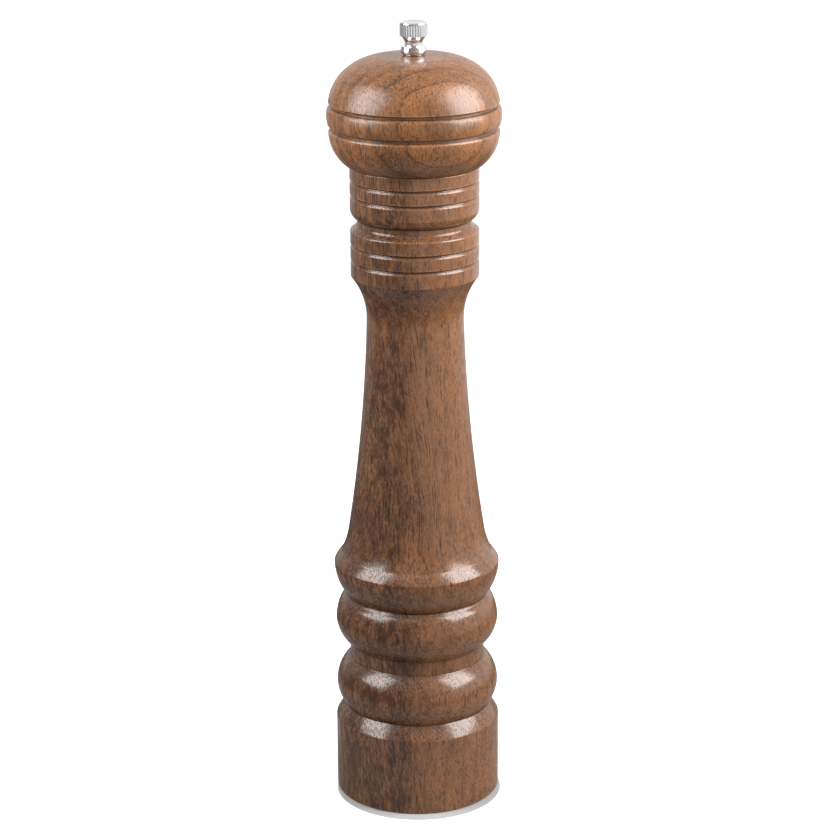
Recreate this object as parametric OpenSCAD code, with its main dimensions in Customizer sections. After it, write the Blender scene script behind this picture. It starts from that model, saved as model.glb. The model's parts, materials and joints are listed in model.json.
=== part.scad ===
// Pepper mill: a turned wooden body and head around a two-burr grinder, a square shaft and a top nut.
// Millimetres, +Z up. The origin is the centre of the foot's flat face.
// Turning the head turns the square shaft and the rotor; the top nut lifts the shaft and sets the grind.

/* [Body outline, from the foot up] */
// Diameter of the plain base
base_d = 64.4; // [60:0.2:70]
// Height of the plain base
base_h = 30.6; // [26:0.2:40]
// Radius of the foot's outer edge
foot_edge_r = 0.8; // [0.4:0.1:1.6]
// Height of the bevel above the base
bevel_h = 5.5; // [4:0.1:8]
// Diameter at the crease under the lower bead
low_crease_d = 57.2; // [54:0.2:60]
// Height of the lower bead from its crease to its widest ring
low_bead_rise = 8.4; // [6:0.1:11]
// Largest diameter of the lower bead
low_bead_d = 63.6; // [60:0.2:68]
// Height of the lower bead from its widest ring to the band
low_bead_fall = 11.4; // [8:0.1:14]
// Diameter of the band between the beads
band_d = 52.8; // [50:0.2:56]
// Height of the band between the beads
band_h = 5.6; // [4:0.1:9]
// Height of the upper bead from the band to its widest ring
high_bead_rise = 10.2; // [7:0.1:13]
// Largest diameter of the upper bead
high_bead_d = 63.7; // [60:0.1:68]
// Height of the upper bead from its widest ring to its ledge
high_bead_fall = 6.8; // [5:0.1:9]
// Diameter of the ledge on the upper bead
ledge_d = 60.6; // [58:0.2:62]
// Height of the ledge's slope up to the crease under the bowl
ledge_h = 3.6; // [2:0.1:6]
// Diameter at the crease under the bowl
high_crease_d = 55.2; // [52:0.2:58]
// Height of the bowl under the shoulder
bowl_h = 12.9; // [9:0.1:17]
// Diameter of the shoulder's crisp edge
shoulder_d = 64.5; // [60:0.1:69]
// Height of the rounded cap above the shoulder's edge
cap_h = 4.1; // [3:0.1:6]
// Diameter where the cap meets the flare
cap_d = 58.8; // [56:0.2:62]
// Height of the flare at the foot of the column
flare_h = 9.3; // [7:0.1:13]
// Diameter of the column at its foot
column_d = 53; // [48:0.2:56]
// Height of the tapering column
column_h = 83.2; // [70:0.2:110]
// Diameter of the column at its waist
waist_d = 37.3; // [36:0.1:42]
// Height of the straight waist
waist_h = 3.2; // [1:0.1:8]
// Height of the flare under the neck
neck_flare_h = 15.2; // [12:0.2:22]
// Diameter of the neck
neck_d = 49; // [47:0.1:54]
// Height of the neck's lower rings
low_rings_h = 18; // [14:0.2:24]
// Height of the cove, from its lower edge to its crease
cove_low_h = 4.4; // [3:0.1:6]
// Height of the cove, from its crease to its upper edge
cove_high_h = 3; // [2:0.1:5]
// Diameter at the cove's crease
cove_d = 43.6; // [42:0.1:46]
// Height of the neck's upper rings
high_rings_h = 16.8; // [14:0.2:24]
// Width of a ring groove
ring_groove_w = 1.3; // [0.8:0.1:2]
// Depth of a ring groove
ring_groove_depth = 0.45; // [0.3:0.05:0.8]
// Radius of the rounded edge at the top of the body
top_edge_r = 0.4; // [0.2:0.1:0.8]

/* [Head outline] */
// Gap between the body and the head
head_gap = 0.2; // [0.1:0.05:0.5]
// Diameter of the head's lower edge
head_lip_d = 50.4; // [48:0.2:54]
// Height of the head's bowl
head_bowl_h = 13.6; // [10:0.1:18]
// Diameter of the bowl and dome at the two grooves
head_rim_d = 64.4; // [60:0.2:69]
// Height of each of the head's two grooves
head_groove_h = 1.6; // [1:0.1:2.5]
// Depth of the head's grooves
head_groove_depth = 0.55; // [0.3:0.05:1]
// Height of the rounded band between the grooves
head_band_h = 7.2; // [5:0.1:10]
// How far the rounded band swells out past the grooves' edges
head_band_swell = 0.85; // [0.5:0.05:1.5]
// Height of the dome from the upper groove to its shoulder
dome_side_h = 9.9; // [8:0.1:13]
// Diameter of the dome at its shoulder
dome_shoulder_d = 55.8; // [52:0.2:58]
// Height of the dome from its shoulder to the edge of its crown
dome_round_h = 7.3; // [5:0.1:9]
// Diameter of the nearly flat crown
crown_d = 25; // [20:0.5:32]
// Rise of the crown to its centre
crown_h = 0.3; // [0.2:0.05:0.8]

/* [Curves: how far each stretch swells out or hollows in from its chord] */
// Swell of the bevel above the base
bevel_swell = 0.1; // [0.05:0.05:0.4]
// Swell of the lower bead below its widest ring
low_bead_under = 0.7; // [0.4:0.05:1]
// Swell of the lower bead above its widest ring
low_bead_over = 1.5; // [1:0.05:1.8]
// Swell of the upper bead below its widest ring
high_bead_under = 1.25; // [0.8:0.05:1.5]
// Swell of the upper bead above its widest ring
high_bead_over = 0.3; // [0.1:0.05:0.4]
// Swell of the ledge's slope
ledge_swell = 0.12; // [0.05:0.01:0.4]
// Swell of the bowl under the shoulder
bowl_swell = 1.2; // [0.8:0.05:1.4]
// Swell of the cap above the shoulder
cap_swell = 0.2; // [0.1:0.05:0.5]
// Hollow of the flare at the foot of the column
flare_hollow = 0.4; // [0.2:0.05:0.8]
// Hollow of the tapering column
column_hollow = 1.35; // [0.8:0.05:2]
// Hollow of the flare under the neck
neck_flare_hollow = 1.25; // [0.8:0.05:1.5]
// Hollow of the cove's lower slope
cove_hollow = 0.6; // [0.3:0.05:0.9]
// Swell of the cove's upper slope
cove_swell = 0.5; // [0.2:0.05:0.7]
// Swell of the head's bowl
head_bowl_swell = 1.85; // [1.2:0.05:2.2]
// Swell of the dome's side
dome_side_swell = 0.76; // [0.4:0.02:1.2]
// Swell of the dome's round
dome_round_swell = 1.67; // [1.2:0.01:2]

/* [Bores in the body] */
// Diameter of the peppercorn chamber
chamber_d = 25; // [22:0.2:27]
// Height of the pocket's shoulder above the foot
pocket_h = 34; // [33:0.2:37]
// Depth of the socket for the head's spigot
socket_depth = 23.4; // [22.6:0.1:26]

/* [Spigot and collar] */
// Diameter of the head's spigot
spigot_d = 29.2; // [27:0.1:30]
// Length of the head's spigot
spigot_l = 20; // [16:0.1:20.4]
// Wall of the steel collar
collar_wall = 0.8; // [0.6:0.05:1.1]
// Length of the steel collar
collar_l = 18; // [12:0.2:21]
// Width of the collar's flange
collar_flange_w = 3; // [2:0.1:4.5]
// Thickness of the collar's flange
collar_flange_t = 0.8; // [0.5:0.05:1.2]

/* [Shaft] */
// Width of the square shaft
shaft_w = 6; // [5:0.1:6.4]
// Diameter of the shaft's threaded top end
thread_d = 5; // [4:0.1:5.2]
// Length of the shaft's threaded top end
thread_l = 21; // [18:0.2:24]
// How far the shaft rises from the coarse to the fine setting
grind_travel = 1.6; // [1:0.1:1.8]
// Wood left in the head above the square shaft's bore
head_crown_t = 9.2; // [7:0.1:10]
// Diameter of the clip's groove in the shaft
clip_groove_d = 6.8; // [6.6:0.05:7]
// Outer diameter of the shaft's clip
clip_d = 12; // [10:0.2:14]
// Thickness of the shaft's clip
clip_t = 0.8; // [0.6:0.05:1]
// Width of the clip's mouth
clip_mouth_w = 5.4; // [4.6:0.1:6]
// Diameter of the two reliefs inside the clip
clip_relief_d = 2.4; // [1.6:0.1:3]
// Angle from the middle of the clip's mouth to each relief, in degrees
clip_relief_angle = 110; // [100:1:125]
// Thickness of the washer under the clip
stop_washer_t = 0.8; // [0.5:0.05:1.2]
// Diameter of the washer under the clip
stop_washer_d = 13.2; // [12:0.2:16]

/* [Bridge] */
// Width of the bridge strap on each side of its bush
bridge_rim = 1.2; // [0.8:0.1:1.4]
// Thickness of the bridge strap
bridge_t = 1.6; // [1.2:0.1:2]
// Wall of the bush in the bridge
bush_wall = 1; // [0.8:0.05:1.3]
// Width of the bush's flange
bush_flange_w = 1.2; // [0.8:0.1:2]
// Thickness of the bush's flange
bush_flange_t = 1.2; // [0.8:0.05:1.6]

/* [Washers and spring] */
// Width of the rim around the spring on the washer above it and on the seat below it
spring_washer_rim = 0.9; // [0.6:0.1:1.4]
// Thickness of the washer above the spring and of the seat below it
spring_washer_t = 0.8; // [0.5:0.05:1.2]
// Diameter of the spring's wire
wire_d = 1.2; // [0.9:0.05:1.4]
// Diameter of the spring between the middles of its wire
coil_d = 11; // [10.4:0.1:11.6]
// Number of turns in the spring, with one closed turn at each end
coil_turns = 6; // [5:1:7]

/* [Burrs] */
// Height of the rotor's lower rim above the foot
rotor_lift = 1.6; // [1:0.1:2]
// Diameter of the rotor at its lower rim
rotor_d = 25.2; // [24:0.1:25.6]
// Height of the rotor's fine lower cone
fine_h = 6; // [5:0.1:6.6]
// How much the rotor's radius shrinks over its fine cone
fine_taper = 2; // [1.6:0.05:2.2]
// Height of the rotor's coarse upper cone
coarse_h = 9.9; // [9:0.1:11]
// Diameter of the rotor at its top
rotor_top_d = 15.2; // [14.4:0.1:16.4]
// Gap between the burrs at the coarse setting, across the axis
burr_gap = 0.75; // [0.7:0.01:0.9]
// Wall of the stator around the widest end of its funnel
stator_wall = 1.05; // [0.8:0.05:1.4]
// Wall left outside the stator's teeth
stator_rim = 0.9; // [0.5:0.1:1.2]
// Height of the stator's straight throat
throat_h = 1.6; // [1:0.1:2]
// Height of the stator's feed cone above its throat
feed_h = 3.4; // [3:0.1:4]
// How much the stator's radius grows over its feed cone
feed_taper = 1.2; // [0.8:0.05:1.4]
// Height of the stator's funnel at its top
funnel_h = 4; // [3:0.1:5]
// How much the stator's radius grows over its funnel
funnel_taper = 3; // [2:0.1:3.2]
// Number of fine teeth on each burr
fine_teeth = 30; // [24:1:36]
// Depth of the fine teeth
fine_depth = 0.7; // [0.4:0.05:0.9]
// Slant of the fine teeth in degrees
fine_slant = 18; // [8:1:26]
// Number of coarse flutes on each burr
coarse_flutes = 8; // [6:1:9]
// Radius of a coarse flute
flute_r = 1.9; // [1.5:0.1:2.1]
// Depth of a coarse flute in the rotor
flute_depth = 1.2; // [0.8:0.1:1.5]
// Slant of the coarse flutes in degrees
coarse_slant = 32; // [20:1:38]

/* [Burr holder] */
// How far the holder's flange is sunk above the foot's face
flange_sink = 0.8; // [0.4:0.1:1.2]
// Thickness of the holder's flange
flange_t = 1.8; // [1.4:0.1:2.2]
// Wall of the holder around the stator
holder_wall = 2.7; // [2:0.1:3.2]
// Thickness of the lip that carries the stator
lip_t = 1.2; // [0.8:0.05:1.4]
// Width of the lip under the stator
lip_w = 2; // [1.2:0.1:2.4]

/* [Screws] */
// Diameter of the wood screws in the foot
wood_screw_d = 3; // [2.6:0.1:3.2]
// Length of the wood screws in the foot
wood_screw_l = 14; // [10:0.5:18]
// Head diameter of the wood screws
wood_head_d = 5.6; // [5.2:0.1:5.8]
// Head height of the wood screws
wood_head_h = 1.5; // [1.2:0.05:1.6]
// Margin around the heads of the wood screws
screw_margin = 0.6; // [0.4:0.1:1]
// Diameter of the drive plate's screws
plate_screw_d = 2.5; // [2:0.1:2.8]
// Length of the drive plate's screws under the head
plate_screw_l = 9; // [7:0.5:12]
// Head diameter of the drive plate's screws
plate_head_d = 4.4; // [4:0.1:4.8]
// Head height of the drive plate's screws
plate_head_h = 1.2; // [0.9:0.05:1.5]
// Diameter of the rotor's screw
rotor_screw_d = 4; // [3:0.1:4.2]
// Length of the rotor's screw under its head
rotor_screw_l = 10; // [7:0.5:12]
// Head diameter of the rotor's screw
rotor_head_d = 8.4; // [7.6:0.1:9]
// Head height of the rotor's screw
rotor_head_h = 2; // [1.6:0.1:2.2]
// Diameter of the washer in the rotor
rotor_washer_d = 13.2; // [11:0.2:14]
// Thickness of the washer in the rotor
rotor_washer_t = 1; // [0.6:0.05:1.4]
// Width of a screwdriver slot
slot_w = 0.8; // [0.6:0.05:1]
// Depth of a screwdriver slot
slot_depth = 0.8; // [0.5:0.05:0.9]
// Length of a screwdriver slot as a share of the head's diameter
slot_span = 0.7; // [0.5:0.05:0.8]
// Diameter of the flat end of a screw's point
screw_point_d = 0.5; // [0.3:0.1:0.8]

/* [Drive plate] */
// How much smaller in radius the drive plate is than the spigot
plate_inset = 1.6; // [1.2:0.1:2.2]
// Width of the drive plate's rim outside its screws' heads
plate_rim = 1.4; // [0.8:0.1:1.8]
// Thickness of the drive plate
drive_plate_t = 1.6; // [1.2:0.1:2]

/* [Top nut] */
// Diameter of the washer under the nut
nut_washer_d = 8.8; // [8:0.1:10]
// Thickness of the washer under the nut
nut_washer_t = 0.5; // [0.3:0.05:0.8]
// Depth of the seat in the crown for the washer
nut_seat_depth = 0.6; // [0.5:0.05:0.8]
// Largest diameter of the nut's rounded foot
nut_ball_d = 9.7; // [9:0.1:11]
// Height of the nut's rounded foot at its widest
nut_ball_h = 2.4; // [2:0.1:3]
// Swell of the nut's rounded foot below its widest ring
nut_ball_swell = 0.3; // [0.1:0.05:0.5]
// Height of the step on top of the nut's foot
nut_step_h = 3.3; // [3.1:0.05:3.6]
// Radius of the fillet between the step and the nut's neck
nut_fillet = 0.6; // [0.3:0.05:0.7]
// Wall of the nut around its thread, which makes its neck
nut_wall = 0.8; // [0.6:0.05:1.1]
// Height of the nut's neck
nut_neck_h = 4.8; // [4.4:0.1:5.2]
// Diameter of the nut's knurled knob
knob_d = 10.4; // [9.6:0.1:12]
// Height of the knob's lower edge
knob_low_h = 7.3; // [6.8:0.1:7.8]
// Hollow of the flare under the knob
knob_flare_hollow = 0.25; // [0.1:0.05:0.5]
// Height of the knurling
knurl_h = 3.6; // [3:0.1:5]
// Height of the nut
nut_h = 12.4; // [12.1:0.1:14]
// Width of the flat rim around the knob's dish
knob_rim_w = 0.5; // [0.3:0.05:0.8]
// Break on the nut's outer edges
nut_edge = 0.2; // [0.1:0.05:0.3]
// Depth of the dish in the knob
dish_depth = 0.8; // [0.5:0.05:1]
// Number of knurls
knurls = 32; // [24:1:40]
// Depth of the knurling
knurl_depth = 0.3; // [0.15:0.05:0.4]
// Metal between the dish and the threaded bore
nut_web = 0.7; // [0.5:0.05:1]

/* [Fits] */
// Radial clearance of the spigot in the collar
spigot_fit = 0.08; // [0.05:0.01:0.1]
// Radial clearance of the shaft's corners in the bush
bush_fit = 0.06; // [0.04:0.01:0.1]
// Side clearance of the square shaft in its square holes
square_fit = 0.06; // [0.04:0.01:0.1]
// Radial clearance of the shaft's thread in the nut
thread_fit = 0.05; // [0.03:0.01:0.08]
// Radial clearance of pieces that are pressed or screwed in
press_fit = 0.04; // [0.03:0.01:0.06]
// Radial clearance of pieces that drop into a turned seat
seat_fit = 0.15; // [0.1:0.05:0.3]
// Clearance between faces that lie on each other and move
face_gap = 0.05; // [0.04:0.01:0.1]
// Clearance between the shaft's corners and the wood
wood_gap = 0.3; // [0.2:0.05:0.5]
// Room left past the end of a screw or thread
end_gap = 0.4; // [0.3:0.05:0.6]

/* [Hidden] */
$fn = 96;

walnut = [0.42, 0.27, 0.18];
bright = [0.82, 0.82, 0.84];
steel = [0.6, 0.6, 0.62];
cast = [0.45, 0.45, 0.47];
black = [0.12, 0.12, 0.13];

cut = 1;                // overshoot of a cutter past a face
curve_points = 8;       // points along an ordinary curve
long_points = 14;       // points along the column's curve

// Heights of the body's rings above the foot
z_low_crease = base_h + bevel_h;
z_low_bead = z_low_crease + low_bead_rise;
z_band = z_low_bead + low_bead_fall;
z_band_top = z_band + band_h;
z_high_bead = z_band_top + high_bead_rise;
z_ledge = z_high_bead + high_bead_fall;
z_high_crease = z_ledge + ledge_h;
z_shoulder = z_high_crease + bowl_h;
z_cap = z_shoulder + cap_h;
z_column = z_cap + flare_h;
z_waist = z_column + column_h;
z_waist_top = z_waist + waist_h;
z_neck = z_waist_top + neck_flare_h;
z_cove = z_neck + low_rings_h;
z_cove_crease = z_cove + cove_low_h;
z_cove_top = z_cove_crease + cove_high_h;
body_h = z_cove_top + high_rings_h;

// Heights of the head's rings
z_head = body_h + head_gap;
z_head_low_groove = z_head + head_bowl_h;
z_head_band = z_head_low_groove + head_groove_h;
z_head_high_groove = z_head_band + head_band_h;
z_dome = z_head_high_groove + head_groove_h;
z_dome_shoulder = z_dome + dome_side_h;
z_crown = z_dome_shoulder + dome_round_h;
z_head_top = z_crown + crown_h;

// Collar, spigot and drive plate
collar_bore_d = spigot_d + 2 * spigot_fit;
collar_d = collar_bore_d + 2 * collar_wall;
collar_flange_d = collar_d + 2 * collar_flange_w;
socket_d = collar_d + 2 * press_fit;
z_spigot = z_head - spigot_l;
z_drive_plate = z_spigot - drive_plate_t;
drive_plate_d = spigot_d - 2 * plate_inset;
plate_screw_r = drive_plate_d / 2 - plate_rim - plate_head_d / 2;

// Top nut
z_nut_washer = z_head_top - nut_seat_depth;
z_nut = z_nut_washer + nut_washer_t + face_gap;
nut_bore_d = thread_d + 2 * thread_fit;
nut_bore_h = nut_h - dish_depth - nut_web;
nut_neck_d = nut_bore_d + 2 * nut_wall;
knurl_w = knurl_depth * sqrt(2);

// Shaft
corner_d = shaft_w * sqrt(2);
square_hole_w = shaft_w + 2 * square_fit;
round_hole_d = corner_d + 2 * bush_fit;
head_hole_d = thread_d + 2 * wood_gap;
z_shaft_top = z_nut + nut_bore_h - grind_travel - end_gap;
z_square_top = z_shaft_top - thread_l;
z_head_bore_top = z_head_top - head_crown_t;

// Bridge and what hangs under it
z_bridge = pocket_h - bridge_t;
bush_d = round_hole_d + 2 * bush_wall;
bush_flange_d = bush_d + 2 * bush_flange_w;
bridge_w = bush_d + 2 * bridge_rim;
spring_washer_d = coil_d + wire_d + 2 * spring_washer_rim;
z_stop_washer = pocket_h + bush_flange_t;
z_clip = z_stop_washer + stop_washer_t;
z_thrust_washer = z_bridge - 2 * face_gap - spring_washer_t;

// Burrs
z_rotor = rotor_lift;
rotor_r = rotor_d / 2;
rotor_neck_r = rotor_r - fine_taper;
z_rotor_coarse = z_rotor + fine_h;
z_rotor_top = z_rotor_coarse + coarse_h;
z_spring = z_rotor_top + spring_washer_t;
spring_l = z_thrust_washer - z_spring;
z_stator = flange_sink + lip_t;
z_throat = z_rotor_coarse;
z_feed = z_throat + throat_h;
z_funnel = z_feed + feed_h;
z_stator_top = z_funnel + funnel_h;
fine_slope = fine_taper / fine_h;
throat_r = rotor_neck_r + burr_gap;
stator_low_r = throat_r + (z_throat - z_stator) * fine_slope;
feed_r = throat_r + feed_taper;
mouth_r = feed_r + funnel_taper;
stator_d = 2 * (mouth_r + stator_wall);
fine_lean = atan(fine_slope);
coarse_lean = atan((rotor_neck_r - rotor_top_d / 2) / coarse_h);

// Rotor's screw and washer
z_shaft = z_rotor + rotor_head_h + rotor_washer_t + end_gap;
z_rotor_washer = z_shaft - rotor_washer_t;

// Holder, and the pocket and the recess that take it
stator_seat_d = stator_d + 2 * press_fit;
sleeve_d = stator_seat_d + 2 * holder_wall;
holder_screw_r = sleeve_d / 2 + screw_margin + wood_head_d / 2;
flange_d = 2 * (holder_screw_r + wood_head_d / 2 + screw_margin);
pocket_d = sleeve_d + 2 * seat_fit;
bridge_screw_x = pocket_d / 2 - screw_margin - wood_head_d / 2;
recess_d = flange_d + 2 * seat_fit;
recess_h = flange_sink + flange_t;

// Points of an arc from a to b that swells by s to the right of its direction, in n steps
function arc(a, b, s, n = curve_points) =
    let (d = b - a, chord = norm(d), side = [d[1], -d[0]] / chord,
        r = (chord * chord / 4 + s * s) / (2 * s), c = (a + b) / 2 - side * (r - s),
        u = a - c, v = b - c, turn = atan2(u[0] * v[1] - u[1] * v[0], u * v))
    [for (i = [0:n]) let (t = turn * i / n)
        c + [u[0] * cos(t) - u[1] * sin(t), u[0] * sin(t) + u[1] * cos(t)]];

// Swell of a quarter of a circle of radius r
function quarter_swell(r) = r * (1 - sqrt(0.5));

// Swell of the half section of a spherical cap of radius w and height h
function cap_half_swell(w, h) =
    let (r = (w * w + h * h) / (2 * h))
    r - sqrt(r * r - (w * w + h * h) / 4);

// Points of a ring groove in the neck, with its middle at height z; its floor is a third of its width
function ring_groove(z) =
    let (r = neck_d / 2, floor_r = r - ring_groove_depth, w = ring_groove_w)
    [[r, z - w / 2], [floor_r, z - w / 6], [floor_r, z + w / 6], [r, z + w / 2]];

// Two ring grooves that divide the neck's wall from height z to height z + h into thirds
function two_grooves(z, h) = concat(ring_groove(z + h / 3), ring_groove(z + 2 * h / 3));

// Floor of one of the head's grooves, from height z up
function head_groove(z) =
    let (r = head_rim_d / 2 - head_groove_depth)
    [[r, z], [r, z + head_groove_h]];

// Outer outline of the body from the foot's face to its top face
function body_outline() = concat(
    [[0, 0]],
    arc([base_d / 2 - foot_edge_r, 0], [base_d / 2, foot_edge_r], quarter_swell(foot_edge_r), 4),
    arc([base_d / 2, base_h], [low_crease_d / 2, z_low_crease], bevel_swell, 4),
    arc([low_crease_d / 2, z_low_crease], [low_bead_d / 2, z_low_bead], low_bead_under),
    arc([low_bead_d / 2, z_low_bead], [band_d / 2, z_band], low_bead_over),
    arc([band_d / 2, z_band_top], [high_bead_d / 2, z_high_bead], high_bead_under),
    arc([high_bead_d / 2, z_high_bead], [ledge_d / 2, z_ledge], high_bead_over, 5),
    arc([ledge_d / 2, z_ledge], [high_crease_d / 2, z_high_crease], ledge_swell, 4),
    arc([high_crease_d / 2, z_high_crease], [shoulder_d / 2, z_shoulder], bowl_swell),
    arc([shoulder_d / 2, z_shoulder], [cap_d / 2, z_cap], cap_swell, 5),
    arc([cap_d / 2, z_cap], [column_d / 2, z_column], -flare_hollow),
    arc([column_d / 2, z_column], [waist_d / 2, z_waist], -column_hollow, long_points),
    arc([waist_d / 2, z_waist_top], [neck_d / 2, z_neck], -neck_flare_hollow),
    two_grooves(z_neck, low_rings_h),
    arc([neck_d / 2, z_cove], [cove_d / 2, z_cove_crease], -cove_hollow, 5),
    arc([cove_d / 2, z_cove_crease], [neck_d / 2, z_cove_top], cove_swell, 5),
    two_grooves(z_cove_top, high_rings_h),
    arc([neck_d / 2, body_h - top_edge_r], [neck_d / 2 - top_edge_r, body_h], quarter_swell(top_edge_r), 4),
    [[0, body_h]]);

// Outer outline of the head from the spigot's end to the crown
function head_outline() = concat(
    [[0, z_spigot], [spigot_d / 2, z_spigot], [spigot_d / 2, z_head]],
    arc([head_lip_d / 2, z_head], [head_rim_d / 2, z_head_low_groove], head_bowl_swell, 10),
    head_groove(z_head_low_groove),
    arc([head_rim_d / 2, z_head_band], [head_rim_d / 2, z_head_high_groove], head_band_swell),
    head_groove(z_head_high_groove),
    arc([head_rim_d / 2, z_dome], [dome_shoulder_d / 2, z_dome_shoulder], dome_side_swell),
    arc([dome_shoulder_d / 2, z_dome_shoulder], [crown_d / 2, z_crown], dome_round_swell),
    [[0, z_head_top]]);

// Outline of the nut above its own foot
function nut_outline() =
    let (neck_r = nut_neck_d / 2, knob_r = knob_d / 2, rim_r = knob_r - nut_edge, dish_r = rim_r - knob_rim_w)
    concat(
        [[0, 0]],
        arc([neck_r, 0], [nut_ball_d / 2, nut_ball_h], nut_ball_swell, 5),
        [[nut_ball_d / 2 - nut_edge, nut_step_h]],
        arc([neck_r + nut_fillet, nut_step_h], [neck_r, nut_step_h + nut_fillet],
            -quarter_swell(nut_fillet), 4),
        arc([neck_r, nut_neck_h], [knob_r, knob_low_h], -knob_flare_hollow, 5),
        [[knob_r, knob_low_h + knurl_h], [rim_r, nut_h - nut_edge], [rim_r - nut_edge, nut_h]],
        arc([dish_r, nut_h], [0, nut_h - dish_depth], -cap_half_swell(dish_r, dish_depth), 5));

// A set of n copies of the children around the axis, the first turned by first degrees
module around(n, first = 0) {
    for (i = [0:n - 1]) rotate([0, 0, first + 360 * i / n]) children();
}

// A washer with a round hole
module washer(z, d, t, hole_d) {
    translate([0, 0, z]) difference() {
        cylinder(d = d, h = t);
        translate([0, 0, -cut]) cylinder(d = hole_d, h = t + 2 * cut);
    }
}

// A square hole that starts at height z and is h tall
module square_hole(z, h) {
    translate([-square_hole_w / 2, -square_hole_w / 2, z]) cube([square_hole_w, square_hole_w, h]);
}

// A washer with a square hole
module square_washer(z, d, t) {
    difference() {
        translate([0, 0, z]) cylinder(d = d, h = t);
        square_hole(z - cut, t + 2 * cut);
    }
}

// Two crossed slots in a screw's head, cut up from height 0
module cross_slot(head_d) {
    slot_l = slot_span * head_d;
    for (a = [0, 90]) rotate([0, 0, a])
        translate([-slot_l / 2, -slot_w / 2, -cut]) cube([slot_l, slot_w, slot_depth + cut]);
}

// A screw that points up, with the under side of its head at height head_h
module screw(d, l, head_d, head_h, countersunk, pointed) {
    tip = pointed ? d : 0;
    difference() {
        union() {
            cylinder(d1 = head_d, d2 = countersunk ? d : head_d, h = head_h);
            cylinder(d = d, h = head_h + l - tip);
            if (pointed) translate([0, 0, head_h + l - tip]) cylinder(d1 = d, d2 = screw_point_d, h = tip);
        }
        cross_slot(head_d);
    }
}

// A hole for a screw, from height 0 up
module pilot(d, l) {
    translate([0, 0, -cut]) cylinder(d = d + 2 * press_fit, h = l + end_gap + cut);
}

module mill_body() {
    color(walnut) difference() {
        rotate_extrude() polygon(body_outline());
        translate([0, 0, -cut]) cylinder(d = chamber_d, h = body_h + 2 * cut);
        translate([0, 0, body_h - socket_depth]) cylinder(d = socket_d, h = socket_depth + cut);
        translate([0, 0, body_h - collar_flange_t])
            cylinder(d = collar_flange_d + 2 * seat_fit, h = collar_flange_t + cut);
        translate([0, 0, -cut]) cylinder(d = pocket_d, h = pocket_h + cut);
        translate([0, 0, -cut]) cylinder(d = recess_d, h = recess_h + cut);
        around(3, 90) translate([holder_screw_r, 0, flange_sink + wood_head_h])
            pilot(wood_screw_d, wood_screw_l);
        around(2) translate([bridge_screw_x, 0, pocket_h]) pilot(wood_screw_d, wood_screw_l - bridge_t);
    }
}

module body_collar() {
    z = body_h - collar_l;
    color(steel) difference() {
        union() {
            translate([0, 0, z]) cylinder(d = collar_d, h = collar_l);
            translate([0, 0, body_h - collar_flange_t]) cylinder(d = collar_flange_d, h = collar_flange_t);
        }
        translate([0, 0, z - cut]) cylinder(d = collar_bore_d, h = collar_l + 2 * cut);
    }
}

module shaft_bridge() {
    color(steel) difference() {
        intersection() {
            translate([0, 0, z_bridge]) cylinder(d = pocket_d - 2 * seat_fit, h = bridge_t);
            translate([-pocket_d / 2, -bridge_w / 2, z_bridge - cut])
                cube([pocket_d, bridge_w, bridge_t + 2 * cut]);
        }
        translate([0, 0, z_bridge - cut]) cylinder(d = bush_d + 2 * press_fit, h = bridge_t + 2 * cut);
        around(2) translate([bridge_screw_x, 0, z_bridge - cut])
            cylinder(d = wood_screw_d + 2 * press_fit, h = bridge_t + 2 * cut);
    }
}

module bridge_bush() {
    color(black) difference() {
        union() {
            translate([0, 0, z_bridge]) cylinder(d = bush_d, h = bridge_t + bush_flange_t);
            translate([0, 0, pocket_h]) cylinder(d = bush_flange_d, h = bush_flange_t);
        }
        translate([0, 0, z_bridge - cut])
            cylinder(d = round_hole_d, h = bridge_t + bush_flange_t + 2 * cut);
    }
}

module bridge_screws() {
    color(bright) around(2) translate([bridge_screw_x, 0, z_bridge - wood_head_h])
        screw(wood_screw_d, wood_screw_l, wood_head_d, wood_head_h, false, true);
}

module stop_washer() {
    color(steel) washer(z_stop_washer, stop_washer_d, stop_washer_t, round_hole_d);
}

module burr_holder() {
    color(cast) difference() {
        union() {
            translate([0, 0, flange_sink]) cylinder(d = flange_d, h = flange_t);
            translate([0, 0, flange_sink]) cylinder(d = sleeve_d, h = z_stator_top - flange_sink);
        }
        translate([0, 0, z_stator]) cylinder(d = stator_seat_d, h = z_stator_top - z_stator + cut);
        translate([0, 0, flange_sink - cut]) cylinder(d = stator_d - 2 * lip_w, h = lip_t + 2 * cut);
        around(3, 90) translate([holder_screw_r, 0, flange_sink]) {
            translate([0, 0, -cut]) cylinder(d = wood_head_d + 2 * press_fit, h = cut);
            cylinder(d1 = wood_head_d + 2 * press_fit, d2 = wood_screw_d + 2 * press_fit, h = wood_head_h);
            cylinder(d = wood_screw_d + 2 * press_fit, h = flange_t + cut);
        }
    }
}

// Three-sided cutter for one fine tooth gap, laid along a cone at radius r and height z
module fine_cutter(r, z, slant) {
    side = fine_depth * sqrt(2);
    l = 2 * fine_h;
    translate([r, 0, z]) rotate([0, -fine_lean, 0]) rotate([slant, 0, 0]) rotate([0, 0, 45])
        translate([-side / 2, -side / 2, -l / 2]) cube([side, side, l]);
}

// Round cutter of length l for one coarse flute, laid along a cone at radius r and height z
module flute_cutter(r, z, l, lean, slant) {
    translate([r, 0, z]) rotate([0, -lean, 0]) rotate([slant, 0, 0])
        cylinder(r = flute_r, h = l, center = true);
}

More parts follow.
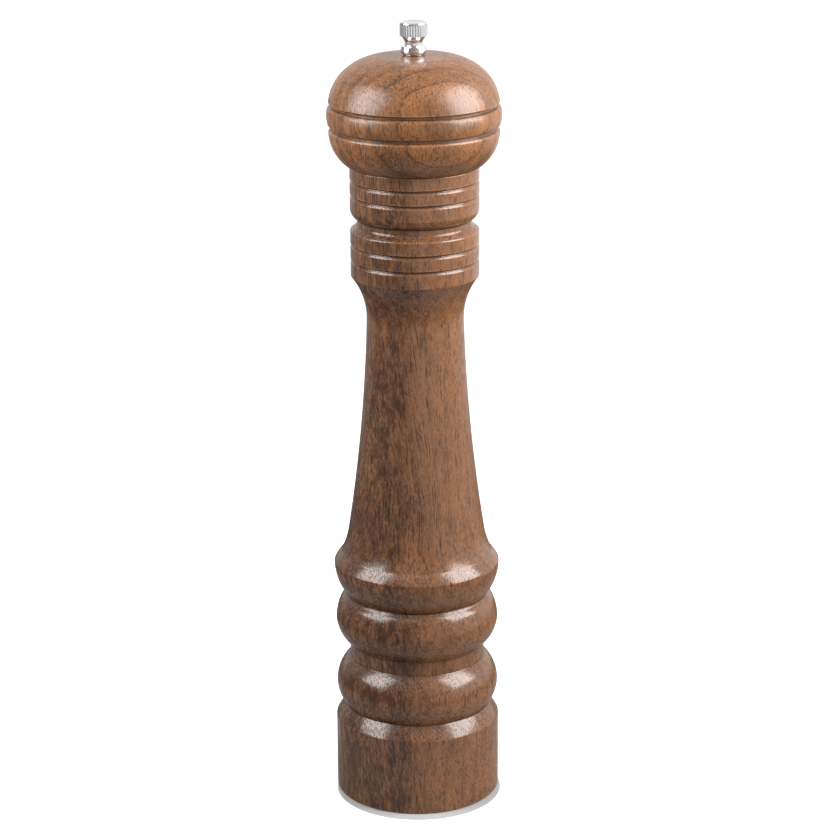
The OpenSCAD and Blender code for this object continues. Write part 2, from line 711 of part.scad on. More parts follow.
module stator_burr() {
    z_fine = (z_stator + z_throat) / 2;
    r_fine = throat_r + (z_throat - z_fine) * fine_slope;
    feed_lean = atan(-(feed_taper + funnel_taper) / (feed_h + funnel_h));
    teeth_r = stator_d / 2 - stator_rim;
    color(cast) difference() {
        rotate_extrude() polygon([[stator_low_r, z_stator], [stator_d / 2, z_stator],
            [stator_d / 2, z_stator_top], [mouth_r, z_stator_top], [feed_r, z_funnel],
            [throat_r, z_feed], [throat_r, z_throat]]);
        intersection() {
            translate([0, 0, z_stator - cut]) cylinder(r = teeth_r, h = z_feed - z_stator + cut);
            around(fine_teeth) fine_cutter(r_fine, z_fine, -fine_slant);
        }
        intersection() {
            translate([0, 0, z_throat]) cylinder(r = teeth_r, h = z_stator_top - z_throat + cut);
            around(coarse_flutes)
                flute_cutter(feed_r, z_funnel, 2 * (feed_h + funnel_h), feed_lean, -coarse_slant);
        }
    }
}

module holder_screws() {
    color(bright) around(3, 90) translate([holder_screw_r, 0, flange_sink])
        screw(wood_screw_d, wood_screw_l, wood_head_d, wood_head_h, true, true);
}

module thrust_washer() {
    color(steel) square_washer(z_thrust_washer, spring_washer_d, spring_washer_t);
}

module spring_seat() {
    color(steel) square_washer(z_rotor_top, spring_washer_d, spring_washer_t);
}

// Height of the wire's middle after t turns: a closed turn, the open turns and a closed turn
function coil_rise(t) =
    let (pitch = (spring_l - 3 * wire_d) / (coil_turns - 2))
    t < 1 ? wire_d * t
    : t < coil_turns - 1 ? wire_d + pitch * (t - 1)
    : wire_d + pitch * (coil_turns - 2) + wire_d * (t - coil_turns + 1);

module grinder_spring() {
    sides = 8;                  // sides of the wire's section
    turn_steps = 20;            // sections in one turn
    steps = turn_steps * coil_turns;
    ring_points = [for (k = [0:steps])
        let (t = k / turn_steps, a = 360 * t, z = z_spring + wire_d / 2 + coil_rise(t))
        for (j = [0:sides - 1]) let (b = 360 * j / sides, r = coil_d / 2 + wire_d / 2 * cos(b))
            [r * cos(a), r * sin(a), z + wire_d / 2 * sin(b)]];
    walls = [for (k = [0:steps - 1]) for (j = [0:sides - 1]) let (n = (j + 1) % sides)
        [k * sides + j, k * sides + n, (k + 1) * sides + n, (k + 1) * sides + j]];
    ends = [[for (j = [sides - 1:-1:0]) j], [for (j = [0:sides - 1]) steps * sides + j]];
    color(bright) polyhedron(points = ring_points, faces = concat(walls, ends));
}

module drive_shaft() {
    color(bright) difference() {
        union() {
            translate([-shaft_w / 2, -shaft_w / 2, z_shaft])
                cube([shaft_w, shaft_w, z_square_top - z_shaft]);
            translate([0, 0, z_square_top - cut]) cylinder(d = thread_d, h = thread_l + cut);
        }
        translate([0, 0, z_shaft]) pilot(rotor_screw_d, rotor_screw_l);
        difference() {
            translate([0, 0, z_clip]) cylinder(d = 2 * shaft_w, h = clip_t + 2 * face_gap);
            translate([0, 0, z_clip - cut]) cylinder(d = clip_groove_d, h = clip_t + 2 * cut);
        }
    }
}

module shaft_clip() {
    color(black) translate([0, 0, z_clip + face_gap]) linear_extrude(height = clip_t) difference() {
        circle(d = clip_d);
        circle(d = clip_groove_d + 2 * press_fit);
        translate([0, -clip_mouth_w / 2]) square([clip_d, clip_mouth_w]);
        for (side = [-1, 1]) rotate([0, 0, side * clip_relief_angle])
            translate([clip_groove_d / 2, 0]) circle(d = clip_relief_d);
    }
}

module rotor_burr() {
    z_fine = z_rotor + fine_h / 2;
    r_fine = rotor_r - fine_taper / 2;
    z_coarse = z_rotor_coarse + coarse_h / 2;
    r_coarse = (rotor_neck_r + rotor_top_d / 2) / 2;
    r_flute = r_coarse + flute_r - flute_depth;
    color(cast) difference() {
        rotate_extrude() polygon([[0, z_rotor], [rotor_r, z_rotor], [rotor_neck_r, z_rotor_coarse],
            [rotor_top_d / 2, z_rotor_top], [0, z_rotor_top]]);
        square_hole(z_rotor - cut, z_rotor_top - z_rotor + 2 * cut);
        translate([0, 0, z_rotor - cut])
            cylinder(d = rotor_washer_d + 2 * seat_fit, h = z_shaft - z_rotor + cut);
        intersection() {
            translate([0, 0, z_rotor - cut]) cylinder(r = rotor_r + cut, h = fine_h + cut);
            around(fine_teeth, 180 / fine_teeth) fine_cutter(r_fine, z_fine, fine_slant);
        }
        intersection() {
            translate([0, 0, z_rotor_coarse]) cylinder(r = rotor_r + cut, h = coarse_h + cut);
            around(coarse_flutes)
                flute_cutter(r_flute, z_coarse, 2 * coarse_h, coarse_lean, coarse_slant);
        }
    }
}

module rotor_washer() {
    color(bright) washer(z_rotor_washer, rotor_washer_d, rotor_washer_t, rotor_screw_d + 2 * press_fit);
}

module rotor_screw() {
    color(bright) translate([0, 0, z_rotor_washer - rotor_head_h])
        screw(rotor_screw_d, rotor_screw_l + rotor_washer_t, rotor_head_d, rotor_head_h, false, false);
}

module mill_head() {
    color(walnut) difference() {
        rotate_extrude() polygon(head_outline());
        translate([0, 0, z_spigot - cut])
            cylinder(d = corner_d + 2 * wood_gap, h = z_head_bore_top - z_spigot + cut);
        translate([0, 0, z_head_bore_top - cut]) cylinder(d = head_hole_d, h = head_crown_t + 2 * cut);
        translate([0, 0, z_nut_washer]) cylinder(d = nut_washer_d + 2 * seat_fit, h = nut_seat_depth + cut);
        around(3, 30) translate([plate_screw_r, 0, z_spigot])
            pilot(plate_screw_d, plate_screw_l - drive_plate_t);
    }
}

module drive_plate() {
    color(bright) difference() {
        translate([0, 0, z_drive_plate]) cylinder(d = drive_plate_d, h = drive_plate_t);
        square_hole(z_drive_plate - cut, drive_plate_t + 2 * cut);
        around(3, 30) translate([plate_screw_r, 0, z_drive_plate - cut])
            cylinder(d = plate_screw_d + 2 * press_fit, h = drive_plate_t + 2 * cut);
    }
}

module drive_plate_screws() {
    color(steel) around(3, 30) translate([plate_screw_r, 0, z_drive_plate - plate_head_h])
        screw(plate_screw_d, plate_screw_l, plate_head_d, plate_head_h, false, true);
}

module nut_washer() {
    color(steel) washer(z_nut_washer, nut_washer_d, nut_washer_t, head_hole_d);
}

module finial_nut() {
    color(bright) translate([0, 0, z_nut]) difference() {
        rotate_extrude() polygon(nut_outline());
        translate([0, 0, -cut]) cylinder(d = nut_bore_d, h = nut_bore_h + cut);
        around(knurls) translate([knob_d / 2, 0, knob_low_h - cut]) rotate([0, 0, 45])
            translate([-knurl_w / 2, -knurl_w / 2, 0]) cube([knurl_w, knurl_w, nut_h]);
    }
}

mill_body();
body_collar();
shaft_bridge();
bridge_bush();
bridge_screws();
stop_washer();
burr_holder();
stator_burr();
holder_screws();
thrust_washer();
grinder_spring();
drive_shaft();
shaft_clip();
spring_seat();
rotor_burr();
rotor_washer();
rotor_screw();
mill_head();
drive_plate();
drive_plate_screws();
nut_washer();
finial_nut();
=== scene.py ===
# %% [markdown]
# # A turned pepper mill
# The mill is a tall turned wooden body with a turning wooden head and a small chromed nut on top.
# Inside it are a square shaft, a spring and two burrs. The CAD model holds every piece in its place,
# so this script dresses those pieces: it turns the wood and the nut again as smooth surfaces, winds
# the spring, cuts the shaft's thread, and gives each piece a material built from nodes.

# %% Load the frame
import json
import math

import bpy
import numpy as np
from mathutils import Matrix, Vector


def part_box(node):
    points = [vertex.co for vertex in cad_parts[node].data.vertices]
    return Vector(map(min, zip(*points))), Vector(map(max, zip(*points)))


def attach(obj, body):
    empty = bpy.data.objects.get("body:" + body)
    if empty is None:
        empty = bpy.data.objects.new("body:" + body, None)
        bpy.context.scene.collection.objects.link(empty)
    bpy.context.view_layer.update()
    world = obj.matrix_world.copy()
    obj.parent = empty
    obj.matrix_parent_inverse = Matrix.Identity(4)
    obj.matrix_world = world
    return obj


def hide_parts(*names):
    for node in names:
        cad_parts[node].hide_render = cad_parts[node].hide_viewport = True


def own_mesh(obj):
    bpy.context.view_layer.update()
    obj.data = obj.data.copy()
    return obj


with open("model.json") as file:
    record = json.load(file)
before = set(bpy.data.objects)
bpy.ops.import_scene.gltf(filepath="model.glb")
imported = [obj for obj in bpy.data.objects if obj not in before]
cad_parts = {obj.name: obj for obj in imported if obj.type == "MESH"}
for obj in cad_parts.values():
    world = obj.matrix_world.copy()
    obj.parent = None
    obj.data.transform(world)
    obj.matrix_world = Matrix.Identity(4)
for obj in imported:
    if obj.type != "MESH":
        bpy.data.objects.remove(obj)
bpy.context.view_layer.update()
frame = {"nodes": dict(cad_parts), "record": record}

# %% [markdown]
# ## The camera
# A long lens about a metre away looks a little down on the mill, so that its rings show as shallow
# ellipses and the sides stay almost parallel. The tiny roll is the lean of a hand-set tripod.

# %% Camera
CAMERA_PLACE = (0.0016, -1.0127, 0.4656)
LOOKS_DOWN = 17.215
ROLL = -0.306

lens = bpy.data.cameras.new("camera")
lens.sensor_width = 36
lens.lens = 117.5
lens.clip_start = 0.05
lens.clip_end = 30
camera = bpy.data.objects.new("camera", lens)
tilt = Matrix.Rotation(math.radians(90 - LOOKS_DOWN), 4, "X")
roll = Matrix.Rotation(math.radians(ROLL), 4, "Z")
camera.matrix_world = Matrix.Translation(CAMERA_PLACE) @ tilt @ roll
bpy.context.scene.collection.objects.link(camera)
bpy.context.scene.camera = camera
print("camera at", CAMERA_PLACE, "looking down", LOOKS_DOWN, "degrees")

# %% [markdown]
# ## Turning tools
# A turned piece is one outline carried round the axis. On the lathe the outline is cut as a row of
# beads, coves and flats, and sandpaper then takes the sharpness off every edge. The helpers follow
# the same steps: arcs give the cuts, soften() is the sandpaper, spread() puts the points where the
# outline bends, and lathe() carries them round. All lengths are in millimetres until the mesh.

# %% Outline helpers
MM = 0.001
EDGE_BEND = 0.12  # radians of edge_turn past which a point counts as near an edge
EDGE_GAP = 0.4  # longest step between points near an edge, in millimetres


def arc(start, end, swell, steps=24):
    """Circular arc in (radius, height) that swells by swell to the right of the way it goes.

    The chord is c long, so the arc's radius is (c^2 / 4 + swell^2) / (2 swell). The centre lies on
    the chord's middle line, and the points turn round it in equal steps from start to end.
    """
    start, end = np.array(start, float), np.array(end, float)
    chord = end - start
    c = np.hypot(*chord)
    side = np.array([chord[1], -chord[0]]) / c
    radius = (c * c / 4 + swell * swell) / (2 * swell)
    centre = (start + end) / 2 - side * (radius - swell)
    u, v = start - centre, end - centre
    t = np.linspace(0, math.atan2(u[0] * v[1] - u[1] * v[0], u @ v), steps + 1)
    x = u[0] * np.cos(t) - u[1] * np.sin(t)
    y = u[0] * np.sin(t) + u[1] * np.cos(t)
    return np.stack([x, y], axis=1) + centre


def quarter_swell(radius):
    """How far a quarter of a circle stands out from its chord: radius (1 - sqrt(1/2))."""
    return radius * (1 - math.sqrt(0.5))


def outline(*stretches):
    """Joins arcs and single (radius, height) points into one outline, without repeated points."""
    points = np.vstack([np.atleast_2d(np.array(s, float)) for s in stretches])
    step = np.hypot(*np.diff(points, axis=0).T)
    return points[np.r_[True, step > 1e-6]]


def along(points, step):
    """The same outline with points at equal steps of its length."""
    length = np.r_[0, np.cumsum(np.hypot(*np.diff(points, axis=0).T))]
    at = np.linspace(0, length[-1], int(round(length[-1] / step)) + 1)
    return np.stack([np.interp(at, length, points[:, k]) for k in (0, 1)], axis=1)


def soften(points, sigma, closed, step=0.03):
    """Rounds every edge as sandpaper does.

    Each point becomes the average of its neighbours along the outline, weighted by
    exp(-s^2 / (2 sigma^2)), where s is the distance along it. A straight stretch doesn't move.
    """
    loop = np.vstack([points, points[:1]]) if closed else points
    fine = along(loop, step)
    reach = int(4 * sigma / step)
    weight = np.exp(-0.5 * (np.arange(-reach, reach + 1) * step / sigma) ** 2)
    weight /= weight.sum()
    if closed:
        fine = fine[:-1]
        padded = np.vstack([fine[-reach:], fine, fine[:reach]])
    else:
        padded = np.vstack([2 * fine[0] - fine[reach:0:-1], fine, 2 * fine[-1] - fine[-2:-reach - 2:-1]])
    return np.stack([np.convolve(padded[:, k], weight, "valid") for k in (0, 1)], axis=1)


def edge_turn(points, closed, reach=0.3):
    """How sharply the outline turns near each point, in radians: + on an edge and - in a corner.

    It is the sum of the turning at the neighbours, weighted by exp(-s^2 / (2 reach^2)), where s is the
    distance along the outline. A plain curve has nearly 0, and a crisp right angle about 1.5.
    """
    before = points - np.roll(points, 1, axis=0)
    after = np.roll(points, -1, axis=0) - points
    turning = np.arctan2(before[:, 0] * after[:, 1] - before[:, 1] * after[:, 0], (before * after).sum(1))
    if not closed:
        turning[[0, -1]] = 0
    step = np.hypot(*after[:-1].T).mean()
    count = int(4 * reach / step)
    weight = np.exp(-0.5 * (np.arange(-count, count + 1) * step / reach) ** 2)
    return np.convolve(np.pad(turning, count, mode="wrap"), weight, "valid")


def spread(points, gap, turn, closed):
    """Fewer points, close together where the outline bends and far apart where it is straight.

    Effort along the outline is length / gap + turning / turn, and near an edge + length / EDGE_GAP,
    with turn in degrees. The points kept stand at equal steps of effort. The third column is edge_turn.
    """
    edge = edge_turn(points, closed)
    loop = np.vstack([points, points[:1]]) if closed else points
    edge = np.r_[edge, edge[0]] if closed else edge
    move = np.diff(loop, axis=0)
    length = np.hypot(*move.T)
    heading = np.unwrap(np.arctan2(move[:, 1], move[:, 0]))
    bend = np.abs(np.diff(heading, prepend=heading[0]))
    near = np.abs(edge[1:]) > EDGE_BEND
    effort = np.r_[0, np.cumsum(length / gap + np.degrees(bend) / turn + near * length / EDGE_GAP)]
    at = np.linspace(0, effort[-1], int(math.ceil(effort[-1])) + 1)
    kept = np.stack([np.interp(at, effort, column) for column in (*loop.T, edge)], axis=1)
    return kept[:-1] if closed else kept


# %% [markdown]
# The skin is the one place where points become a mesh. It takes rings of points, joins each ring to
# the next with four-sided faces, and closes the ends with a fan onto a pole point where there is one.

# %% Mesh helpers
def skin(name, rings, loop=False, start=None, end=None):
    """Mesh over rings[i, j], the point j of ring i, in metres.

    Face (i, j) joins the points (i, j), (i, j + 1), (i + 1, j + 1), (i + 1, j). Points go round each
    ring anticlockwise seen from above, so that a wall whose rings rise faces away from the axis.
    loop joins the last ring to the first. start and end are poles, joined to the first or last ring.
    """
    count, columns = rings.shape[:2]
    index = np.arange(count * columns).reshape(count, columns)
    index = np.vstack([index, index[:1]]) if loop else index
    nxt = np.roll(index, -1, axis=1)
    quads = np.stack([index[:-1], nxt[:-1], nxt[1:], index[1:]], axis=-1).reshape(-1, 4)
    vertices = rings.reshape(-1, 3)
    faces = quads.tolist()
    if start is not None:
        pole = np.full(columns, len(vertices))
        vertices = np.vstack([vertices, start])
        faces += np.stack([pole, nxt[0], index[0]], axis=-1).tolist()
    if end is not None:
        pole = np.full(columns, len(vertices))
        vertices = np.vstack([vertices, end])
        faces += np.stack([pole, index[-1], nxt[-1]], axis=-1).tolist()
    mesh = bpy.data.meshes.new(name)
    mesh.from_pydata(vertices.tolist(), [], faces)
    mesh.shade_smooth()
    piece = bpy.data.objects.new(name, mesh)
    bpy.context.scene.collection.objects.link(piece)
    print(name, "has", len(vertices), "points and", len(quads) + len(faces), "triangles")
    return piece


def lathe(name, profile, columns, closed, cut=None):
    """Surface of revolution: the point (r, z) of the profile goes to (r cos a, r sin a, z).

    a runs over columns equal steps of a turn. cut(r, z, a) may change the radius, as a knurl does.
    An open profile starts and ends on the axis, and its two end points become poles. The profile's
    third column goes with the points as the attribute edge_turn, for the material to read.
    """
    a = 2 * np.pi * np.arange(columns) / columns
    walls = profile if closed else profile[1:-1]
    r, z = (np.repeat(walls[:, k, None], columns, axis=1) for k in (0, 1))
    r = cut(r, z, a[None, :]) if cut else r
    rings = np.stack([r * np.cos(a), r * np.sin(a), z], axis=-1) * MM
    if closed:
        piece = skin(name, rings, loop=True)
    else:
        piece = skin(name, rings, start=[0, 0, profile[0, 1] * MM], end=[0, 0, profile[-1, 1] * MM])
    turns = np.zeros(len(piece.data.vertices))
    turns[:len(walls) * columns] = np.repeat(walls[:, 2], columns)
    piece.data.attributes.new("edge_turn", "FLOAT", "POINT").data.foreach_set("value", turns)
    return piece


def stand_for(piece, node, body):
    """The dressed piece takes the CAD node's place: it is shown instead, and moves with its body."""
    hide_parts(node)
    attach(piece, body)
    lo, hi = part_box(node)
    points = np.array([v.co for v in piece.data.vertices])
    off = max(np.abs(points.min(0) - np.array(lo)).max(), np.abs(points.max(0) - np.array(hi)).max())
    print(piece.name, "differs from the box of", node, "by at most", round(off / MM, 2), "mm")


# %% [markdown]
# ## The wooden body
# The body is one piece of wood, turned outside and bored inside: a plain base with a bevel, two beads
# with a band between them, a bowl under a crisp shoulder, a long waisted column, and a straight neck
# with ring grooves and a cove. The inside has the socket for the collar, the chamber for the
# peppercorns, the pocket for the grinder and the recess for the holder's flange. Outside and inside
# make one closed outline, so the lathe gives a solid with no open edge.

# %% Body outline
FOOT_R = 32.2
BAND_R = 26.4
WAIST_R = 18.65
NECK_R = 24.5
BODY_TOP = 252.2
FLANGE_R, SOCKET_R, CHAMBER_R, POCKET_R, RECESS_R = 18.63, 15.52, 12.5, 19.49, 26.29
EDGE = 0.13  # how far the sandpaper rounds an edge


def ring_groove(z, width=1.3, depth=0.7):
    """A groove round the neck at height z: a sloping lip below and a steep wall above."""
    floor = NECK_R - depth
    low, high = z - width / 2, z + width / 2
    lip = [(NECK_R, low - 0.25), (NECK_R - 0.4, low + 0.36), (floor, low + 0.65)]
    return lip + [(floor, high - 0.1), (NECK_R, high)]


body_profile = outline(
    arc((FOOT_R - 0.8, 0), (FOOT_R, 0.8), quarter_swell(0.8)),  # foot edge
    arc((FOOT_R, 30.6), (28.6, 36.1), 0.1),  # bevel above the base
    arc((28.6, 36.1), (31.8, 44.5), 0.7),  # lower bead, under
    arc((31.8, 44.5), (BAND_R, 55.9), 1.5),  # lower bead, over
    arc((BAND_R, 61.5), (31.85, 71.7), 1.25),  # upper bead, under, above the band
    arc((31.85, 71.7), (30.3, 78.5), 0.3),  # upper bead, over
    arc((30.3, 78.5), (28.25, 81.3), 0.25),  # ledge
    [(28.0, 81.8)],  # and its lip
    arc((27.6, 82.1), (32.25, 95.0), 1.2),  # bowl
    arc((32.25, 95.0), (29.4, 99.1), 0.2),  # cap above the shoulder
    arc((29.4, 99.1), (26.5, 108.4), -0.4),  # flare
    arc((26.5, 108.4), (WAIST_R, 191.6), -1.35, 40),  # column
    arc((WAIST_R, 194.8), (NECK_R, 210.0), -1.25),  # flare under the neck
    ring_groove(216),
    ring_groove(222),
    arc((NECK_R, 227.4), (24.2, 227.95), 0.06),  # edge of the cove
    [(22.6, 229.1)],  # chamfer
    arc((22.6, 229.1), (21.9, 230.2), -0.16),  # cove, with a flat floor
    arc((21.9, 232.0), (NECK_R, 235.4), 0.5),  # and its upper side
    ring_groove(241),
    ring_groove(246.6),
    arc((NECK_R, BODY_TOP - 0.4), (24.1, BODY_TOP), quarter_swell(0.4)),  # top edge
    [(FLANGE_R, BODY_TOP), (FLANGE_R, 251.4), (SOCKET_R, 251.4)],  # seat of the collar's flange
    [(SOCKET_R, 228.8), (CHAMBER_R, 228.8)],  # socket
    [(CHAMBER_R, 34.0), (POCKET_R, 34.0)],  # chamber
    [(POCKET_R, 2.6), (RECESS_R, 2.6)],  # grinder's pocket
    [(RECESS_R, 0)],  # recess for the holder
)
body_profile = spread(soften(body_profile, EDGE, closed=True), gap=3.0, turn=8.5, closed=True)
print("body outline:", len(body_profile), "points")

# %% [markdown]
# The lathe takes this outline round in 144 steps. A piece of the dressed model stands for the CAD
# piece of the same place: it takes over its body, so it moves with the same joints.

# %% Turn the body
body_wood = lathe("body_wood", body_profile, 144, closed=True)
stand_for(body_wood, "mill_body", "body")

# %% [markdown]
# ## The wooden head
# The head is turned from the same plank: a bowl, a rounded band between two grooves, and a dome. Its
# spigot below fits the steel collar, and a bore takes the shaft up to the nut.

# %% Turn the head
RIM_R = 32.2
GROOVE_R = 31.3
SPIGOT_R, BORE_R = 14.6, 4.54
SPIGOT_LOW, BOWL_LOW = 232.4, 252.4

head_profile = outline(
    [(SPIGOT_R, SPIGOT_LOW), (SPIGOT_R, BOWL_LOW)],  # spigot
    arc((25.2, BOWL_LOW), (RIM_R, 265.5), 1.8),  # bowl
    [(RIM_R - 0.45, 266.15), (GROOVE_R, 266.35), (GROOVE_R, 267.5)],  # its lip, and the groove
    [(RIM_R - 0.1, 267.6)],
    arc((RIM_R + 0.25, 268.1), (RIM_R + 0.5, 273.9), 0.34),  # rounded band
    [(RIM_R - 0.02, 274.72), (GROOVE_R, 275.1), (GROOVE_R, 276.3)],  # its lip, and the upper groove
    arc((RIM_R, 276.4), (27.9, 286.3), 0.76),  # dome's side
    arc((27.9, 286.3), (12.5, 293.6), 1.67),  # dome's round
    [(4.55, 293.79), (4.55, 293.3), (2.8, 293.3)],  # crown and the washer's seat
    [(2.8, 284.7), (BORE_R, 284.7), (BORE_R, SPIGOT_LOW)],  # bore
)
head_profile = spread(soften(head_profile, EDGE, closed=True), gap=2.5, turn=6.5, closed=True)
head_wood = lathe("head_wood", head_profile, 180, closed=True)
stand_for(head_wood, "mill_head", "head")

# %% [markdown]
# ## The chromed nut
# A small nut holds the head down and sets the grind. It is turned from bar: a rounded foot, a thin
# neck, a flare and a knob with a straight knurl and a shallow dish. The knurl is cut into the same
# surface: a wave round the knob that dies out below its upper rim.

# %% Turn the nut
NUT_Z = 293.85
KNOB_R = 5.2
KNURLS = 32
KNURL_DEEP = 0.32
KNURL_LOW, KNURL_TOP, KNURL_FADE = 6.3, 11.8, 0.3

nut_profile = outline(
    [(0, 10.9), (2.55, 10.9), (2.55, 0), (3.8, 0)],  # threaded bore and the foot's face
    arc((3.8, 0), (4.9, 2.2), 0.4),
    [(4.7, 3.3)],
    arc((3.95, 3.3), (3.35, 3.9), -quarter_swell(0.6)),
    arc((3.35, 4.8), (KNOB_R, 7.3), -0.25),
    [(KNOB_R, 11.6)],
    arc((KNOB_R, 11.6), (4.6, 12.4), 0.2),
    arc((4.5, 12.4), (0, 11.6), -0.2),  # dish
)


def knurl(r, z, a):
    """The radius r, but on the knob's wall no more than a wave, KNURL_DEEP (1 - cos(KNURLS a)) / 2 deep.

    The wave's crests lie 0.02 mm outside the wall, so that a strip of the turned wall stays between
    two cuts. It fades in over KNURL_FADE above KNURL_LOW, and out over as much below KNURL_TOP.
    """
    fade = np.clip((z - NUT_Z - KNURL_LOW) / KNURL_FADE, 0, 1)
    fade = fade * np.clip((NUT_Z + KNURL_TOP - z) / KNURL_FADE, 0, 1)
    wave = KNOB_R + 0.02 - KNURL_DEEP / 2 * fade * (1 - np.cos(KNURLS * a))
    return np.where(fade > 0, np.minimum(r, wave), r)


nut_profile = soften(nut_profile, 0.07, closed=False, step=0.02)
nut_profile = spread(nut_profile, gap=0.5, turn=9, closed=False)
nut_profile[[0, -1], 0] = 0
nut_profile[:, 1] += NUT_Z
top_nut = lathe("top_nut", nut_profile, KNURLS * 8, closed=False, cut=knurl)
stand_for(top_nut, "finial_nut", "nut")

# %% [markdown]
# ## The shaft
# The shaft is drawn square bar with a thread cut on its top end. Its section goes from a circle in
# the screw's bore to a square outside, so each ring carries its own shape, and one skin covers all.

# %% Shaft
SIDE = 3.0  # half the width of the square bar
CORNER_R = 4.13  # its corners are a little rounded
BAR_LOW, SQUARE_TOP, SHAFT_TOP = 5.0, 281.75, 302.75
TAPPED_R, TAPPED_TOP = 2.04, 15.4  # hole for the rotor's screw
CLIP_LOW, CLIP_TOP, CLIP_R = 36.0, 36.9, 3.4  # round groove for the clip
THREAD_R, THREAD_DEEP, PITCH = 2.5, 0.42, 0.8
BAR_COLUMNS = 64
a = 2 * np.pi * np.arange(BAR_COLUMNS) / BAR_COLUMNS  # the angle of each column


def square_ring(half, z, limit=CORNER_R):
    """Ring of a square bar of half width half: r = half / max(|cos a|, |sin a|), at most limit."""
    r = np.minimum(half / np.maximum(np.abs(np.cos(a)), np.abs(np.sin(a))), limit)
    return np.stack([r * np.cos(a), r * np.sin(a), np.full(BAR_COLUMNS, z)], axis=-1)


def thread_rings(z_low, z_high):
    """Rings of a right-hand thread: r = THREAD_R - THREAD_DEEP w, with w once up and down in a pitch.

    The phase is z / pitch - a / turn, so the groove climbs one pitch in each turn. w is the triangle
    1.25 (1 - |2 phase - 1|) - 0.1 cut off at 0 and 1, which leaves a flat crest and a flat root. The
    groove fades in over its first pitch, and a cone takes the thread's corner off at the top.
    """
    z = np.arange(z_low, z_high + 0.01, 0.1)[:, None]
    phase = (z / PITCH - a[None, :] / (2 * np.pi)) % 1
    groove = np.clip(1.25 * (1 - np.abs(2 * phase - 1)) - 0.1, 0, 1)
    r = THREAD_R - THREAD_DEEP * groove * np.clip((z - z_low) / PITCH, 0, 1)
    r = np.minimum(r, THREAD_R - 0.6 + (z_high - z))
    return np.stack([r * np.cos(a), r * np.sin(a), z + 0 * r], axis=-1)


tapped = np.stack([TAPPED_R * np.cos(a), TAPPED_R * np.sin(a), np.zeros(BAR_COLUMNS)], axis=-1)
bar = [tapped + [0, 0, TAPPED_TOP], tapped + [0, 0, BAR_LOW]]
bar += [square_ring(SIDE - 0.25, BAR_LOW, 3.7), square_ring(SIDE, BAR_LOW + 0.25)]
bar += [square_ring(SIDE, CLIP_LOW), square_ring(SIDE, CLIP_LOW + 0.04, CLIP_R)]
bar += [square_ring(SIDE, CLIP_TOP - 0.04, CLIP_R), square_ring(SIDE, CLIP_TOP)]
bar += [square_ring(SIDE, z) for z in (100, 160, 220, SQUARE_TOP - 0.3)]
bar += [square_ring(SIDE - 0.2, SQUARE_TOP, 3.6), square_ring(SIDE, SQUARE_TOP, THREAD_R)]
rings = np.concatenate([np.array(bar), thread_rings(SQUARE_TOP + 0.1, SHAFT_TOP)]) * MM
shaft_bar = skin("shaft_bar", rings, start=[0, 0, TAPPED_TOP * MM], end=[0, 0, SHAFT_TOP * MM])
stand_for(shaft_bar, "drive_shaft", "spindle")

# %% [markdown]
# ## The spring
# The spring is round wire wound in a helix, with one closed turn at each end. A circle is carried
# along the helix.

# %% Wind the spring
WIRE_R = 0.6
COIL_R = 5.5
SPRING_LOW, SPRING_TOP = 18.3, 31.5
TURNS = 6
TURN_STEPS = 36
WIRE_SIDES = 12

# After t turns the middle of the wire stands at the angle 2 pi t, the radius COIL_R and the height
# rise(t), which climbs one wire in each end turn and one pitch in every other turn. An average over
# a few steps rounds the change. Round the wire the angle b adds WIRE_R cos b to the radius and
# WIRE_R sin b to the height. It runs backwards, so that the faces point outwards.
t = np.linspace(0, TURNS, TURN_STEPS * TURNS + 1)
pitch = (SPRING_TOP - SPRING_LOW - 6 * WIRE_R) / (TURNS - 2)
climbs = np.cumsum([0, 2 * WIRE_R, pitch * (TURNS - 2), 2 * WIRE_R])
rise = np.interp(t, [0, 1, TURNS - 1, TURNS], climbs)
smooth = np.exp(-0.5 * (np.arange(-9, 10) / 3) ** 2)
rise = np.convolve(np.pad(rise, 9, mode="reflect", reflect_type="odd"), smooth / smooth.sum(), "valid")
b = -2 * np.pi * np.arange(WIRE_SIDES) / WIRE_SIDES
r = COIL_R + WIRE_R * np.cos(b)[None, :]
turn_angle = 2 * np.pi * t[:, None]
height = SPRING_LOW + WIRE_R + rise[:, None] + WIRE_R * np.sin(b)[None, :]
rings = np.stack([r * np.cos(turn_angle), r * np.sin(turn_angle), height], axis=-1)
grind_spring = skin("grind_spring", rings * MM, start=rings[0].mean(0) * MM, end=rings[-1].mean(0) * MM)
stand_for(grind_spring, "grinder_spring", "turning_set")
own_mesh(grind_spring)

# %% [markdown]
# ## Materials: the tools
# A material is a small network of nodes. add() places one node and links or sets its inputs, and the
# short helpers after it keep the networks readable. Effects that several materials share are node
# groups: the wood's figure and the marks on metal.

# %% Node helpers
def add(tree, kind, inputs=None, **settings):
    """One node. inputs maps an input's name or number to a value, or to the output that feeds it."""
    made = tree.nodes.new(kind)
    for name, value in settings.items():
        setattr(made, name, value)
    for key, value in (inputs or {}).items():
        if isinstance(value, bpy.types.NodeSocket):
            tree.links.new(value, made.inputs[key])
        else:
            made.inputs[key].default_value = value
    return made


def maths(tree, operation, *values):
    """The output of a Math node."""
    return add(tree, "ShaderNodeMath", dict(enumerate(values)), operation=operation).outputs[0]


def stretched(tree, vector, x, y, z):
    """The vector with each part multiplied, so that a pattern on it is stretched by 1 / x and so on."""
    return add(tree, "ShaderNodeVectorMath", {0: vector, 1: (x, y, z)}, operation="MULTIPLY").outputs[0]


def between(tree, value, low, high, at_low=0.0, at_high=1.0):
    """at_low below low, at_high above high, and a smooth step between them."""
    return add(tree, "ShaderNodeMapRange", {"Value": value, "From Min": low, "From Max": high,
                                            "To Min": at_low, "To Max": at_high},
               interpolation_type="SMOOTHSTEP").outputs["Result"]


